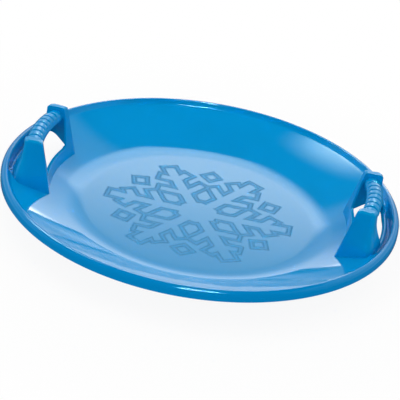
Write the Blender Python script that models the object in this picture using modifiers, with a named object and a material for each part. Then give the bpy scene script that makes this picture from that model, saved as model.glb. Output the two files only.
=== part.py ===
"""Round snow slider: a thin dished pan with a rolled rim, and a raised handle at each end of one diameter.

Z is up, the handles stand on the X axis, and the origin is the centre of the flat underside.
Each handle is a four-sided frame of thin walls, open below, with a window for the fingers, and a ribbed
grip lies between its two caps. Handle sizes are set for the one at +X. The other is that one turned round.
"""

import math

import bmesh
import bpy
from mathutils import Matrix, Vector

# Pan: a flat floor, a wide blend, and a wall that steepens outwards
OUTER_RADIUS = 0.2995
FLOOR_RADIUS = 0.158
FLOOR_BLEND = 0.150
WALL_FOOT_ANGLE = math.radians(19)
WALL_ROUND = 0.550
SKIN = 0.0025

# Rolled rim
RIM_WIDTH = 0.0145
RIM_RISE = 0.0080
RIM_DROP = 0.015
CROWN_ROUND = 0.0090

# Handle frame: it rises above the rim's crown, and halves are half lengths across the handle
HANDLE_RISE = 0.0451
HANDLE_DEPTH = 0.0565
HANDLE_SKIN = 0.003
FOOT_SEAT = 0.0012
PAN_SIDE_LEAN = 0.0172
RIM_SIDE_LEAN = 0.013
FOOT_HALF_INNER = 0.0725
FOOT_HALF_OUTER = 0.1015
CAP_HALF_INNER = 0.0695
CAP_HALF_OUTER = 0.0715
FLARE_POWER = 2.5
CORNER_INNER = 0.0035
CORNER_OUTER_FOOT = 0.018
CORNER_OUTER_CAP = 0.006
CAP_EDGE = 0.004
CAP_CROWN = 0.0055

# Window, sill and band: drops are below the rim's crown
SILL_DROP = 0.0172
SILL_WIDTH = 0.005
BAND_DROP = 0.0102
BAND_WIDTH = 0.0065
BAND_HALF = 0.084
WINDOW_HALF_BOTTOM = 0.049
WINDOW_CORNER = 0.007
BAND_LEDGE = 0.0006
MOAT_WIDTH = 0.006
MOAT_DEPTH = 0.010
MOAT_TAPER = math.radians(9)
RIM_LIP = 0.0085

# Grip: drops are below the top of the caps
GRIP_LENGTH = 0.115
GRIP_RADIUS = 0.0122
GRIP_BOTTOM_DROP = 0.0183
GRIP_SETBACK = 0.0271
GRIP_END_DROP = 0.0053
GRIP_RISE = 0.0035
GRIP_SKIN = 0.004
GRIP_NECK = 0.001
GRIP_NECK_LENGTH = 0.006
GRIP_SIDES = 14
GROOVES = 7
GROOVE_PITCH = 0.0134
GROOVE_WIDTH = 0.005
GROOVE_DEPTH = 0.0018
GROOVE_FADE = math.radians(125)
GROOVE_END = math.radians(165)

# Clearance between neighbouring pieces
GAP = 0.0003

PAN_STEPS = 72
BLEND_STEPS = 4
WALL_STEPS = 4
REACH = 0.03
BLUE = (0.0, 0.26, 0.56, 1.0)

wall_foot = FLOOR_RADIUS + FLOOR_BLEND * math.sin(WALL_FOOT_ANGLE)
rim_inner = OUTER_RADIUS - RIM_WIDTH
opening_outer = OUTER_RADIUS - RIM_LIP
leg_outer = opening_outer - GAP
leg_inner = leg_outer - SKIN
moat_inner = leg_inner - MOAT_WIDTH
frame_outer = moat_inner - BAND_LEDGE
frame_inner = frame_outer - HANDLE_DEPTH
window_half_top = GRIP_LENGTH / 2


def wall_height(radius):
    """Height of the pan's upper face inside the rim."""
    if radius < FLOOR_RADIUS:
        return SKIN
    if radius < wall_foot:
        return SKIN + FLOOR_BLEND - math.sqrt(FLOOR_BLEND**2 - (radius - FLOOR_RADIUS) ** 2)
    foot_height = SKIN + FLOOR_BLEND * (1 - math.cos(WALL_FOOT_ANGLE))
    across = radius - wall_foot + WALL_ROUND * math.sin(WALL_FOOT_ANGLE)
    return foot_height + WALL_ROUND * math.cos(WALL_FOOT_ANGLE) - math.sqrt(WALL_ROUND**2 - across**2)


crown_height = wall_height(rim_inner) + RIM_RISE
handle_height = crown_height + HANDLE_RISE
sill_height = crown_height - SILL_DROP
band_height = crown_height - BAND_DROP
moat_floor = band_height - MOAT_DEPTH
grip_bottom = handle_height - GRIP_BOTTOM_DROP
grip_end_top = handle_height - GRIP_END_DROP
grip_centre_radius = frame_outer - GRIP_SETBACK


def inside_profile():
    """The pan's upper face from the centre to the top of the wall."""
    points = [(0.0, SKIN), (FLOOR_RADIUS, SKIN)]
    for start, end, steps in ((FLOOR_RADIUS, wall_foot, BLEND_STEPS), (wall_foot, rim_inner, WALL_STEPS)):
        for i in range(1, steps + 1):
            radius = between(start, end, i / steps)
            points.append((radius, wall_height(radius)))
    return points


def rim_slope(radius):
    """Height of the step that rises from the wall to the rim's crown."""
    run = RIM_WIDTH - CROWN_ROUND
    return wall_height(rim_inner) + RIM_RISE * min(1.0, (radius - rim_inner) / run)


def between(low, high, share):
    return low + (high - low) * share


def clear_scene():
    for obj in list(bpy.data.objects):
        bpy.data.objects.remove(obj, do_unlink=True)


def add_collection(name):
    collection = bpy.data.collections.new(name)
    bpy.context.scene.collection.children.link(collection)
    return collection


def add_object(name, mesh, collection):
    obj = bpy.data.objects.new(name, mesh)
    collection.objects.link(obj)
    return obj


def mesh_of(name, bm):
    bmesh.ops.recalc_face_normals(bm, faces=bm.faces[:])
    mesh = bpy.data.meshes.new(name)
    bm.to_mesh(mesh)
    bm.free()
    return mesh


def hide_cutter(obj):
    obj.hide_render = True
    obj.display_type = "WIRE"
    return obj


def add_boolean(obj, other, operation):
    modifier = obj.modifiers.new(other.name, "BOOLEAN")
    modifier.object = other
    modifier.operation = operation
    modifier.solver = "EXACT"


def baked_mesh(obj, name):
    """The object's mesh with its modifiers applied."""
    graph = bpy.context.evaluated_depsgraph_get()
    mesh = bpy.data.meshes.new_from_object(obj.evaluated_get(graph))
    mesh.name = name
    return mesh


def plastic(name, roughness):
    material = bpy.data.materials.new(name)
    material.use_nodes = True
    shader = material.node_tree.nodes["Principled BSDF"]
    shader.inputs["Base Color"].default_value = BLUE
    shader.inputs["Roughness"].default_value = roughness
    shader.inputs["Metallic"].default_value = 0.0
    return material


def finish_piece(obj, roughness):
    obj.data.materials.clear()
    obj.data.materials.append(plastic(obj.name, roughness))
    obj.data.shade_smooth()
    obj.data.set_sharp_from_angle(angle=math.radians(30))


def turned(name, profile, collection, closed, steps=PAN_STEPS):
    """A profile of (radius, height) points turned about the Z axis."""
    bm = bmesh.new()
    points = [bm.verts.new((radius, 0.0, height)) for radius, height in profile]
    for first, second in zip(points, points[1:]):
        bm.edges.new((first, second))
    if closed:
        bm.edges.new((points[-1], points[0]))
    mesh = bpy.data.meshes.new(name)
    bm.to_mesh(mesh)
    bm.free()
    obj = add_object(name, mesh, collection)
    screw = obj.modifiers.new("Turn", "SCREW")
    screw.steps = steps
    screw.render_steps = steps
    screw.use_merge_vertices = True
    screw.merge_threshold = 0.0001
    return obj


def swept(name, profile, half_angle, steps, collection):
    """A solid sector: a closed profile of (radius, height) points swept about Z, centred on +X."""
    bm = bmesh.new()
    corners = [bm.verts.new((radius, 0.0, height)) for radius, height in profile]
    bm.faces.new(corners)
    bmesh.ops.rotate(bm, verts=bm.verts[:], cent=(0, 0, 0), matrix=Matrix.Rotation(-half_angle, 3, "Z"))
    bmesh.ops.spin(
        bm,
        geom=bm.verts[:] + bm.edges[:] + bm.faces[:],
        cent=(0, 0, 0),
        axis=(0, 0, 1),
        angle=2 * half_angle,
        steps=steps,
        use_duplicate=False,
    )
    return add_object(name, mesh_of(name, bm), collection)


def lofted(name, rings, collection):
    """A closed solid skinned over rings of equal counts, in triangles that run one way, so that nested
    lofts stay the same distance apart."""
    bm = bmesh.new()
    loops = [[bm.verts.new(point) for point in ring] for ring in rings]
    count = len(loops[0])
    for low, high in zip(loops, loops[1:]):
        for i in range(count):
            j = (i + 1) % count
            bm.faces.new((low[i], low[j], high[j]))
            bm.faces.new((low[i], high[j], high[i]))
    bm.faces.new(loops[0])
    bm.faces.new(loops[-1])
    return add_object(name, mesh_of(name, bm), collection)


def box(name, low, high, collection):
    bm = bmesh.new()
    bmesh.ops.create_cube(bm, size=1.0)
    size = Vector(high) - Vector(low)
    bmesh.ops.scale(bm, vec=size, verts=bm.verts[:])
    bmesh.ops.translate(bm, vec=(Vector(high) + Vector(low)) / 2, verts=bm.verts[:])
    return add_object(name, mesh_of(name, bm), collection)


def rounded(start, corner, end, steps):
    """Points that round a corner, from start to end."""
    points = []
    for i in range(steps + 1):
        t = i / steps
        points.append(start * (1 - t) ** 2 + corner * 2 * t * (1 - t) + end * t**2)
    return points


def on_circle(radius, angle):
    return Vector((radius * math.cos(angle), radius * math.sin(angle)))


def sector_outline(inner, half_inner, outer, half_outer, round_inner, round_outer):
    """Outline of a handle across Z: an arc towards the pan, an arc towards the rim and two straight cheeks."""
    low = math.asin(half_inner / inner)
    high = math.asin(half_outer / outer)
    inner_corner = on_circle(inner, low)
    outer_corner = on_circle(outer, high)
    along = (outer_corner - inner_corner).normalized()
    half = []
    arc_end = low - round_inner / inner
    for i in range(4):
        half.append(on_circle(inner, arc_end * i / 3))
    half += rounded(half.pop(), inner_corner, inner_corner + along * round_inner, 2)
    arc_start = high - round_outer / outer
    half += rounded(outer_corner - along * round_outer, outer_corner, on_circle(outer, arc_start), 4)
    for i in (2, 1, 0):
        half.append(on_circle(outer, arc_start * i / 3))
    return [Vector((p.x, -p.y)) for p in half[:0:-1]][1:] + half


def handle_outline(height, inset=0.0, cap=0.0):
    """The handle's outline at one height, drawn in by inset on all sides, and by cap with rounder corners."""
    foot = wall_height(frame_inner)
    rise = max(0.0, (height - foot) / (handle_height - foot))
    base = wall_height(frame_outer) + SKIN
    climb = min(1.0, max(0.0, (height - base) / (handle_height - base)))
    flare = (1 - climb) ** FLARE_POWER
    inner = frame_inner + PAN_SIDE_LEAN * rise + inset + cap
    half_inner = between(FOOT_HALF_INNER, CAP_HALF_INNER, rise) - inset - cap
    outer = frame_outer - RIM_SIDE_LEAN * (1 - flare) - inset - cap
    half_outer = between(CAP_HALF_OUTER, FOOT_HALF_OUTER, flare) - inset * (1 + flare / 2) - cap
    corner = between(CORNER_OUTER_CAP, CORNER_OUTER_FOOT, flare)
    outline = sector_outline(inner, half_inner, outer, half_outer, CORNER_INNER, corner)
    return [(p.x, p.y, height) for p in outline]


def handle_levels(top):
    """Heights of the sections of a handle, closest together where the cheeks flare."""
    base = wall_height(frame_outer) + SKIN
    flared = [between(base, top, share) for share in (0.0, 0.12, 0.26, 0.45, 0.7, 1.0)]
    return [wall_height(frame_inner)] + flared


def handle_block(name, collection, inset=0.0, depth=-REACH / 2, top=handle_height, edge=0.0):
    """The outer form of a handle as one solid. A negative inset makes the opening that it drops into."""
    low = handle_outline(wall_height(frame_inner), inset)
    rings = [[(x, y, depth) for x, y, z in low]]
    rings += [handle_outline(height, inset) for height in handle_levels(top - edge)]
    if edge > 0:
        for turn in (math.radians(22), math.radians(45), math.radians(68), math.radians(90)):
            height = top - edge * (1 - math.sin(turn))
            rings.append(handle_outline(height, inset, CAP_CROWN * (1 - math.cos(turn))))
    return lofted(name, rings, collection)


def window_cutter(collection):
    """The finger window with all above it between the caps, as far as the middle of the moat."""
    near, far = frame_inner - REACH, frame_outer + REACH
    slope = (band_height - sill_height) / (leg_inner - frame_inner)
    top = handle_height + REACH
    rings = []
    for x in (near, far):
        floor = sill_height + slope * (x - frame_inner)
        corner = Vector((WINDOW_HALF_BOTTOM, floor))
        shoulder = Vector((window_half_top, grip_bottom - SKIN))
        side = corner + (shoulder - corner).normalized() * WINDOW_CORNER
        half = rounded(corner - Vector((WINDOW_CORNER, 0.0)), corner, side, 3)
        half += [shoulder, Vector((window_half_top, top))]
        full = half + [Vector((-p.x, p.y)) for p in reversed(half)]
        rings.append([(x, p.x, p.y) for p in full])
    window = lofted("window", rings, collection)
    reach = leg_inner - MOAT_WIDTH / 2
    drum = turned("drum", [(0.0, top + REACH), (reach, top + REACH), (reach, 0.0), (0.0, 0.0)], collection, False)
    hide_cutter(drum)
    add_boolean(window, drum, "INTERSECT")
    return hide_cutter(window)


def band_ring(azimuth, half_angle):
    """Section of the band, the moat beyond it and the leg inside the rim. The moat fades out at its ends."""
    share = min(1.0, (half_angle - abs(azimuth)) / MOAT_TAPER)
    depth = share * share * (3 - 2 * share)
    band_inner = frame_outer - BAND_WIDTH
    width = leg_inner - moat_inner
    moat = []
    for across, sunk in ((0.0, 0.0), (0.12, 0.75), (0.35, 1.0), (0.7, 1.0), (0.92, 0.7)):
        radius = moat_inner + width * across
        low = between(band_height, moat_floor, sunk)
        moat.append((radius, between(rim_slope(radius), low, depth)))
    under = between(wall_height(frame_outer), moat_floor, depth) - SKIN
    section = [
        (band_inner, band_height + SKIN),
        (frame_outer - HANDLE_SKIN / 2, band_height + SKIN),
        (frame_outer - HANDLE_SKIN / 2, band_height),
        *moat,
        (leg_inner, rim_slope(leg_inner)),
        (leg_outer, rim_slope(leg_outer)),
        (leg_outer, under),
        (frame_outer - 2 * SKIN, under),
        (frame_outer - 2 * SKIN - BAND_LEDGE, band_height - SKIN),
        (band_inner, band_height - SKIN),
    ]
    return [(r * math.cos(azimuth), r * math.sin(azimuth), z) for r, z in section]


def frame_mesh(cutters):
    """The handle frame at +X as one mesh."""
    frame = hide_cutter(handle_block("frame_block", cutters, edge=CAP_EDGE))

    hollow = hide_cutter(handle_block("frame_hollow", cutters, HANDLE_SKIN, -REACH, handle_height - HANDLE_SKIN))
    end_half = window_half_top + HANDLE_SKIN
    low = (frame_inner - REACH, -end_half, grip_bottom)
    high = (frame_outer + REACH, end_half, handle_height + REACH)
    end_walls = hide_cutter(box("cap_end_walls", low, high, cutters))
    add_boolean(hollow, end_walls, "DIFFERENCE")
    add_boolean(frame, hollow, "DIFFERENCE")

    far = OUTER_RADIUS + REACH
    section = [(radius, height - FOOT_SEAT) for radius, height in inside_profile()]
    section += [(far, wall_height(far) - FOOT_SEAT), (far, -REACH), (0.0, -REACH)]
    below = hide_cutter(turned("below_wall", section, cutters, False))
    add_boolean(frame, below, "DIFFERENCE")

    sill_foot = wall_height(frame_inner)
    lean = PAN_SIDE_LEAN * (sill_height - sill_foot) / (handle_height - sill_foot)
    sill_outer = frame_inner + lean + SILL_WIDTH
    sill = [
        (frame_inner + lean + HANDLE_SKIN / 2, sill_height - SKIN),
        (sill_outer, sill_height - SKIN),
        (sill_outer, sill_height + SKIN),
        (frame_inner + lean + HANDLE_SKIN / 2, sill_height + SKIN),
    ]
    reach = math.asin((WINDOW_HALF_BOTTOM + SKIN) / sill_outer)
    add_boolean(frame, hide_cutter(swept("sill_lip", sill, reach, 9, cutters)), "UNION")

    band_angle = math.asin(BAND_HALF / frame_outer)
    rings = [band_ring(band_angle * (i - 8.5) / 8.5, band_angle) for i in range(18)]
    add_boolean(frame, hide_cutter(lofted("band", rings, cutters)), "UNION")

    add_boolean(frame, window_cutter(cutters), "DIFFERENCE")
    return baked_mesh(frame, "handle_frame")


def groove_depth(y):
    """How far the ribbed surface lies below the tops of the ribs, at a place along the grip."""
    depth = 0.0
    for i in range(GROOVES):
        away = abs(y - (i - (GROOVES - 1) / 2) * GROOVE_PITCH)
        if away < GROOVE_WIDTH / 2:
            depth = GROOVE_DEPTH * math.cos(math.pi * away / GROOVE_WIDTH) ** 2
    return depth


def grip_stations():
    """Places along the grip: five to draw each groove, and the ends with their necks."""
    half = GRIP_LENGTH / 2 - GAP
    neck = half - GRIP_NECK_LENGTH
    places = {-half, -neck, neck, half}
    for i in range(GROOVES):
        centre = (i - (GROOVES - 1) / 2) * GROOVE_PITCH
        for share in (-0.5, -0.25, 0.0, 0.25, 0.5):
            places.add(round(centre + share * GROOVE_WIDTH, 6))
    return sorted(places)


def grip_ring(y):
    """Section of the grip: a half round shell, open below. The grooves fade out on the side of the pan."""
    past = abs(y) - (GRIP_LENGTH / 2 - GAP - GRIP_NECK_LENGTH)
    radius = GRIP_RADIUS - GRIP_NECK * max(0.0, past / GRIP_NECK_LENGTH)
    x = math.sqrt(grip_centre_radius**2 - y**2)
    z = grip_end_top - GRIP_RADIUS + GRIP_RISE * (1 - (2 * y / GRIP_LENGTH) ** 2)
    outer = []
    for i in range(GRIP_SIDES + 1):
        angle = math.pi * i / GRIP_SIDES
        fade = min(1.0, max(0.0, (GROOVE_END - angle) / (GROOVE_END - GROOVE_FADE)))
        reach = radius - groove_depth(y) * fade
        outer.append((x + reach * math.cos(angle), z + reach * math.sin(angle)))
    inner = []
    bore = GRIP_RADIUS - GRIP_SKIN
    for i in range(GRIP_SIDES // 2 + 1):
        angle = math.pi * (1 - 2 * i / GRIP_SIDES)
        inner.append((x + bore * math.cos(angle), z + bore * math.sin(angle)))
    section = [(outer[0][0], grip_bottom), *outer, (outer[-1][0], grip_bottom)]
    section += [(inner[0][0], grip_bottom), *inner, (inner[-1][0], grip_bottom)]
    return [(across, y, height) for across, height in section]


def pan_profile():
    """The pan's upper face from the centre outwards, over the rim's crown and down its skirt."""
    points = inside_profile()
    for i in range(5):
        turn = math.radians(90) * (1 - i / 4)
        across = OUTER_RADIUS - CROWN_ROUND + CROWN_ROUND * math.cos(turn)
        points.append((across, crown_height - CROWN_ROUND + CROWN_ROUND * math.sin(turn)))
    points.append((OUTER_RADIUS, crown_height - RIM_DROP))
    return points


def add_pan(part, cutters):
    pan = turned("pan", pan_profile(), part, False)
    shell = pan.modifiers.new("Skin", "SOLIDIFY")
    shell.thickness = SKIN
    shell.offset = -1
    shell.use_even_offset = True

    block = hide_cutter(handle_block("opening_block", cutters, -GAP, -REACH, handle_height))
    ring = [
        (frame_outer - SKIN - SKIN, -REACH),
        (opening_outer, -REACH),
        (opening_outer, handle_height),
        (frame_outer - SKIN - SKIN, handle_height),
    ]
    angle = math.asin(BAND_HALF / frame_outer) + GAP / frame_outer
    sector = hide_cutter(swept("opening_ring", ring, angle, 17, cutters))
    for side, turn in (("right", 0.0), ("left", math.pi)):
        for cutter in (block, sector):
            copy = hide_cutter(add_object(f"{side}_{cutter.name}", cutter.data, cutters))
            copy.rotation_euler.z = turn
            add_boolean(pan, copy, "DIFFERENCE")
    return pan


def main():
    clear_scene()
    part = add_collection("snow_slider")
    cutters = add_collection("cutters")
    finish_piece(add_pan(part, cutters), 0.25)
    frame = frame_mesh(cutters)
    grip = lofted("grip", [grip_ring(y) for y in grip_stations()], cutters)
    hide_cutter(grip)
    for side, turn in (("right", 0.0), ("left", math.pi)):
        for piece, mesh, roughness in (("handle_frame", frame, 0.25), ("grip", grip.data, 0.3)):
            obj = add_object(f"{side}_{piece}", mesh.copy(), part)
            obj.rotation_euler.z = turn
            finish_piece(obj, roughness)


main()
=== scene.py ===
import math

import bmesh
import bpy
from mathutils import Matrix, Vector


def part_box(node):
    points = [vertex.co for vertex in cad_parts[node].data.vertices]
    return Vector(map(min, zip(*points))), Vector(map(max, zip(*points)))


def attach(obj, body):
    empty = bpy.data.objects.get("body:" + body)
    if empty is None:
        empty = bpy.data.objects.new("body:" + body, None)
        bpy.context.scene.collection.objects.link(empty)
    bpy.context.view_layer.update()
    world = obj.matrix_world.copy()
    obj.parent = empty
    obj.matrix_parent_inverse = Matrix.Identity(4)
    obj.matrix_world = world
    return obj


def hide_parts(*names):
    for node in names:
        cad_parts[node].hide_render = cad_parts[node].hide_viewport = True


bl_info = {
    "name": "Snow Slider Looks",
    "version": (1, 0, 0),
    "blender": (4, 5, 0),
    "location": "View3D > Sidebar > Slider",
    "description": "Dresses the round snow slider: glossy moulded plastic, floor design and pale studio",
    "category": "Object",
}

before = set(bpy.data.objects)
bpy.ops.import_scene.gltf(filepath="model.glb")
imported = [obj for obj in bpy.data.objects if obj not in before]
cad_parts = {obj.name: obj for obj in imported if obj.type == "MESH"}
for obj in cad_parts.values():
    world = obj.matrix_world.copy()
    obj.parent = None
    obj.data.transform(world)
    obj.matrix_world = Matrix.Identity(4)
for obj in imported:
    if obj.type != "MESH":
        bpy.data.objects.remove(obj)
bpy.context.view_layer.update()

HANDLE_TURNS = (0.0, math.pi)
outer_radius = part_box("pan")[1].x
handle_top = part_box("right_handle_frame")[1].z

# Small sizes of the handles in metres, and how their curves bend
REACH = 0.03
FLARE_POWER = 2.5
FLARE_SOFT = 0.12
FLARE_SPACING = 1.6
BAND_LEDGE = 0.0006
BAND_SINK = 0.0014
BAND_UNDER = 0.001
MOAT_SPAN = 0.96
MOAT_POWER = 0.6
RIM_SEAM = 0.00005
GRIP_CLEARANCE = 0.0003
SLIVER = 0.00006
ON_AXIS = 0.000001

# Steps along the curves
FLOOR_STEPS = 12
WALL_STEPS = 14
INNER_ROUND_STEPS = 4
CROWN_EDGE_STEPS = 5
ROLL_STEPS = 14
OUTLINE_STEPS = 7
INNER_CORNER_STEPS = 4
OUTER_CORNER_STEPS = 8
FLARE_LEVELS = 12
FOOT_LEVELS = 5
CAP_STEPS = 7
WINDOW_STEPS = 6
SILL_STEPS = 15
CREST_STEPS = 10
MOAT_STEPS = 9
LEG_STEPS = 5
BAND_STEPS = 37
CUTTER_STEPS = 96
NECK_STEPS = 4
GROOVE_STEPS = 8
GRIP_SIDES = 32
EDGE_STEPS = 2

# Angles between faces: where the shading turns sharp, and which edges are rounded off
SHARP = math.radians(30)
FRAME_SHARP = math.radians(42)
EDGE_SHARP = math.radians(38)

# The snow crystal in shares of its radius. A branch has the place where it starts and its length
CRYSTAL_BRANCHES = ((0.42, 0.30), (0.73, 0.19))
CRYSTAL_HUB = 0.21
CRYSTAL_DIAMOND = 0.86
CRYSTAL_DIAMOND_SIZE = 0.052
DIAMOND_SLANT = 0.7

# The plastic: scale per metre and detail of its noises, spreads of its roughness, and where tones fade,
# among them the darker blues painted as shade on the floor disc and on the rim
REFRACTION = 1.5
RIPPLE_NOISE = (420.0, 1.0)
RIPPLE_STRENGTH = 0.04
RIPPLE_DEPTH = 0.0002
DRIFT_NOISE = (7.0, 2.0)
DRIFT_FADE = (0.35, 0.65)
SHELL_NOISE = (30.0, 3.0)
SHELL_SPREAD = 0.04
PAN_SPREAD = 0.02
GRIP_NOISE = (90.0, 3.0)
GRIP_SPREAD = 0.06
UPPER_SIDE = (0.0003, 0.0008)
FLOOR_FADE = (0.165, 0.195)
RIM_SHADE_FADE = (0.286, 0.2915)
BUMP_REACH = 0.001

# What the gloss sees, in degrees: the climb above the horizon, and the turn to the right of straight
# behind or, for the strip, of straight in front. A third number is the half width of a box's soft edge
RIGHT_HALF = (-5.0, 5.0)
RIGHT_FADE = (28.0, 36.0)
HORIZON_FADE = (12.0, 20.0)
CEILING_FADE = (33.0, 38.0)
CEILING_RISE = 15.0
SOFTBOX_LEFT = (-23.0, -9.0)
SOFTBOX_RIGHT = (5.5, 13.5)
SOFTBOX_FOOT = (27.2, 30.6)
SOFTBOX_MIDDLE = (38.0, 47.0)
SOFTBOX_HEAD = (52.5, 56.5)
BESIDE_CENTRE = -3.0
BESIDE_FADE = (13.0, 21.0)
BESIDE_HEAD = (25.0, 31.0)
SKYLINE_HEAD = (2.0, 6.0)
SIDE_BOX_TURN = (-68.0, -43.5, 9.5)
SIDE_BOX_CLIMB = (43.0, 62.0, 7.0)
STRIP_TURN = (2.0, 36.0, 6.0)
STRIP_CLIMB = (60.0, 72.0, 3.0)

# How far the bright right side fades higher up, how much darker the walls beside the softbox are, and
# where, in a direction's share of Y, the front of the room gives way to the back
RIGHT_FADED = 0.6
BESIDE_DARKER = 0.65
FRONT_TO_BACK = (-0.5, -0.1)

# Stage in metres, the camera's sensor in millimetres, and the picture in pixels
LAMP_PLACE = (-1.0, 0.9, 2.4)
FLOOR_DROP = 0.0003
FLOOR_POOL = (0.32, 0.7)
SENSOR_WIDTH = 36.0
PICTURE_WIDTH = 400


def setting(kind, **limits):
    """Makes one kind of setting, from a name, a description and a default."""

    def make(name, description, default):
        return kind(name=name, description=description, default=default, **limits)

    return make


length = setting(bpy.props.FloatProperty, unit="LENGTH", precision=5)
radians = setting(bpy.props.FloatProperty, subtype="ANGLE", unit="ROTATION")
share = setting(bpy.props.FloatProperty, min=0.0, max=1.0, subtype="FACTOR")
number = setting(bpy.props.FloatProperty)
count = setting(bpy.props.IntProperty, min=1)
colour = setting(bpy.props.FloatVectorProperty, size=3, min=0.0, max=1.0, subtype="COLOR")


def angle(name, description, degrees):
    return radians(name, description, math.radians(degrees))


class PanSizes(bpy.types.PropertyGroup):
    """The dished pan and its rolled rim."""

    radius: length("Radius", "From the centre to the outside of the rim", outer_radius)
    base_radius: length("Base Radius", "From the centre to the edge of the flat underside", 0.158)
    floor_radius: length("Floor Radius", "From the centre to the edge of the floor", 0.172)
    floor_dish: length("Floor Dish", "How much higher the floor's edge lies than its middle", 0.003)
    foot_radius: length("Foot Radius", "From the centre to the foot of the wall", 0.2068)
    foot_height: length("Foot Height", "Height of the foot of the wall", 0.0107)
    foot_angle: angle("Foot Angle", "Slope of the wall at its foot", 19.0)
    wall_round: length("Wall Round", "Radius of the wall, which steepens outwards", 0.550)
    skin: length("Skin", "Thickness of the plastic", 0.0025)
    rim_width: length("Rim Width", "From the top of the wall to the outside of the rim", 0.0145)
    rim_rise: length("Rim Rise", "Height of the rim's crown above the top of the wall", 0.0080)
    rim_drop: length("Rim Drop", "Height of the rim's outer skirt", 0.015)
    crown_round: length("Crown Round", "Radius of the rolled rim", 0.0090)
    crown_edge: length("Crown Edge", "Width of the rounding at the crown's inner edge", 0.0022)
    inner_round: length("Inner Round", "Radius of the hollow line between wall and rim", 0.0015)
    lip_round: length("Lip Round", "Radius of the skirt's lower edge", 0.001)
    steps: count("Steps", "Steps round the pan", 288)


class HandleSizes(bpy.types.PropertyGroup):
    """The frame that carries a grip. Halves are half lengths across the handle."""

    height: length("Height", "Top of the caps above the ground", handle_top)
    depth: length("Depth", "From the pan's side to the rim's side at the foot", 0.0565)
    skin: length("Skin", "Thickness of the walls", 0.003)
    seat: length("Seat", "How far the feet reach into the pan's wall", 0.0008)
    pan_side_lean: length("Pan Side Lean", "How far the pan's side leans in", 0.0172)
    rim_side_lean: length("Rim Side Lean", "How far the rim's side leans in", 0.013)
    rim_lip: length("Rim Lip", "Width of the rim that goes on past the handle", 0.0085)
    foot_half_inner: length("Foot Half Inner", "Half length of the foot on the pan's side", 0.0725)
    foot_half_outer: length("Foot Half Outer", "Half length of the foot on the rim's side", 0.1015)
    cap_half_inner: length("Cap Half Inner", "Half length of the top on the pan's side", 0.0695)
    cap_half_outer: length("Cap Half Outer", "Half length of the top on the rim's side", 0.0715)
    cap_edge: length("Cap Edge", "Height of the rounding at the cap's top", 0.004)
    cap_crown: length("Cap Crown", "Width of the rounding at the cap's top", 0.0055)
    corner_inner: length("Inner Corner", "Length rounded off each corner on the pan's side", 0.0035)
    corner_foot: length("Foot Corner", "Length rounded off each foot corner on the rim's side", 0.018)
    corner_cap: length("Cap Corner", "Length rounded off each cap corner on the rim's side", 0.006)
    window_half_bottom: length("Window Half Bottom", "Half length of the window at its sill", 0.049)
    window_corner: length("Window Corner", "Length rounded off the window's lower corners", 0.007)
    sill_width: length("Sill Width", "Width of the sill's turned-in lip", 0.005)
    band_width: length("Band Width", "Width of the band on the rim's side", 0.0065)
    band_half: length("Band Half", "Half length of the band and its groove", 0.084)
    band_drop: length("Band Drop", "Top of the band below the rim's crown", 0.0102)
    sill_drop: length("Sill Drop", "Top of the window's sill below the rim's crown", 0.0172)
    moat_width: length("Moat Width", "Width of the groove between the handle and the rim", 0.006)
    moat_depth: length("Moat Depth", "Depth of that groove below the band", 0.010)
    moat_taper: angle("Moat Taper", "How far round the pan that groove fades out", 9.0)
    edge_round: length("Edge Round", "Radius of the moulded edges", 0.0007)


class GripSizes(bpy.types.PropertyGroup):
    """The ribbed grip between the two caps."""

    length: length("Length", "From cap to cap", 0.115)
    radius: length("Radius", "Radius over the ribs", 0.0122)
    setback: length("Setback", "From the rim's side of the handle to the grip's middle", 0.0271)
    end_drop: length("End Drop", "Top of the grip's ends below the caps", 0.0053)
    bottom_drop: length("Bottom Drop", "Lower edge of the grip below the caps", 0.0183)
    rise: length("Rise", "How much higher the middle stands than the ends", 0.0035)
    grooves: count("Grooves", "Grooves between the ribs", 7)
    pitch: length("Groove Pitch", "From groove to groove", 0.0134)
    groove_width: length("Groove Width", "Width of a groove", 0.0044)
    groove_depth: length("Groove Depth", "Depth of a groove", 0.0023)
    groove_fade: angle("Groove Fade", "Where the grooves start to fade, from the rim's side", 125.0)
    groove_end: angle("Groove End", "Where the grooves end, from the rim's side", 165.0)
    skin: length("Skin", "Thickness of the grip's wall", 0.004)
    neck: length("Neck", "How much thinner the grip is at its ends", 0.001)
    neck_length: length("Neck Length", "Length of the thinner ends", 0.006)


class Finish(bpy.types.PropertyGroup):
    """Colours and gloss of the plastic."""

    blue: colour("Blue", "The plastic's own colour", (0.0, 0.31, 0.69))
    # The floor disc's and the rim's blues are painted shade: darker copies of the plastic's own blue on the
    # same moulding
    floor_shade_blue: colour("Floor Blue", "Colour of the floor disc", (0.0, 0.266, 0.58))
    rim_shade_blue: colour("Rim Blue", "Colour of the rolled rim", (0.0, 0.245, 0.60))
    tint: colour("Gloss Tint", "Colour of the gloss where the surface faces the eye", (0.0, 0.12, 0.12))
    coat: share("Coat", "How much of an untinted gloss lies over the tinted one", 0.08)
    gloss: share("Roughness", "Roughness of the polished walls", 0.05)
    floor_gloss: share("Floor Roughness", "Roughness of the floor disc", 0.08)
    line_gloss: share("Line Roughness", "Roughness in the outlines of the floor design", 0.5)
    field_gloss: share("Field Roughness", "Roughness of the floor design's border", 0.38)
    variation: share("Variation", "How much the colour drifts over the moulding", 0.06)


class Design(bpy.types.PropertyGroup):
    """The tone-on-tone snow crystal on the floor of the pan."""

    radius: length("Radius", "From the centre to the tips of the arms", 0.138)
    line: length("Line", "Width of the dark outlines", 0.0024)
    soft: length("Softness", "Width over which an edge fades", 0.0008)
    arm: length("Arm", "Half width of an arm", 0.0090)
    branch: length("Branch", "Half width of a branch", 0.0068)
    border: length("Border", "Width of the darker border round the crystal", 0.0062)
    line_tone: share("Line Tone", "How much darker the outlines are", 0.30)
    field_tone: share("Field Tone", "How much darker the border is", 0.12)
    relief: length("Relief", "Depth of the outlines", 0.0003)


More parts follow.
